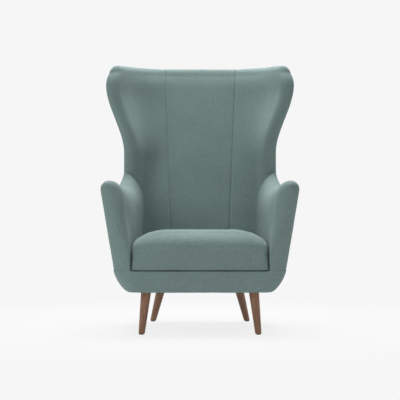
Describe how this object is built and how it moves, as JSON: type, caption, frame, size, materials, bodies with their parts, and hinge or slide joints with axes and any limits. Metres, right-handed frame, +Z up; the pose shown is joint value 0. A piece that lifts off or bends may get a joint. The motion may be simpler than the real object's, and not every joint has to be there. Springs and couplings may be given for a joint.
{
  "type": "upholstered wing armchair",
  "caption": "Fully upholstered wing-back armchair with a seamed inside back, flared low arms, a loose crowned seat cushion and splayed tapered wooden legs.",
  "frame": {"origin": "on the floor, below the middle of the chair's overall box", "axes": "+Z up; the chair faces -Y; +X is to the right as seen from the front"},
  "size_m": [0.7956, 0.8153, 1.0936],
  "materials": {
    "sage_fabric": "matte",
    "walnut": "satin",
    "frame_timber": "matte",
    "plywood": "matte",
    "foam": "matte",
    "wadding": "matte",
    "hessian": "matte",
    "lining": "matte",
    "webbing": "matte",
    "spring_steel": "satin",
    "clip_plastic": "satin",
    "zinc_steel": "satin",
    "glide_plastic": "satin",
    "zip_tape": "matte",
    "zip_metal": "satin"
  },
  "bodies": {
    "chair": {"back_webbing": "webbing", "base_band_cover": "sage_fabric", "base_padding": "foam", "corner_blocks": "frame_timber", "crest_rail": "frame_timber", "deck_cover": "lining", "deck_pad": "foam", "dust_cover": "lining", "foot_glides": "glide_plastic", "front_left_leg": "walnut", "front_right_leg": "walnut", "front_seat_rail": "frame_timber", "hessian_sheet": "hessian", "inside_back_centre_panel": "sage_fabric", "inside_back_foam": "foam", "left_arm_foam": "foam", "left_arm_post": "frame_timber", "left_arm_rail": "frame_timber", "left_back_post": "frame_timber", "left_inside_arm_cover": "sage_fabric", "left_inside_back_panel": "sage_fabric", "left_outside_arm_cover": "sage_fabric", "left_seat_rail": "frame_timber", "left_wing_foam": "foam", "left_wing_frame": "plywood", "leg_blocks": "frame_timber", "leg_bolts": "zinc_steel", "leg_plates": "zinc_steel", "lumbar_rail": "frame_timber", "outside_back_cover": "sage_fabric", "outside_back_wadding": "wadding", "plate_screws": "zinc_steel", "rear_left_leg": "walnut", "rear_right_leg": "walnut", "rear_seat_rail": "frame_timber", "right_arm_foam": "foam", "right_arm_post": "frame_timber", "right_arm_rail": "frame_timber", "right_back_post": "frame_timber", "right_inside_arm_cover": "sage_fabric", "right_inside_back_panel": "sage_fabric", "right_outside_arm_cover": "sage_fabric", "right_seat_rail": "frame_timber", "right_wing_foam": "foam", "right_wing_frame": "plywood", "seat_springs": "spring_steel", "spring_clips": "clip_plastic"},
    "seat_cushion": {"cushion_cover": "sage_fabric", "cushion_core": "foam", "zip_tape": "zip_tape"},
    "zip_slider": {"zip_slider": "zip_metal"}
  },
  "joints": [
    {"name": "cushion_lift", "type": "slide", "parent": "chair", "child": "seat_cushion", "axis": [0, 0, 1], "range_m": [0, 0.36]},
    {"name": "zip_slide", "type": "slide", "parent": "seat_cushion", "child": "zip_slider", "axis": [1, 0, 0], "range_m": [0, 0.38]}
  ]
}
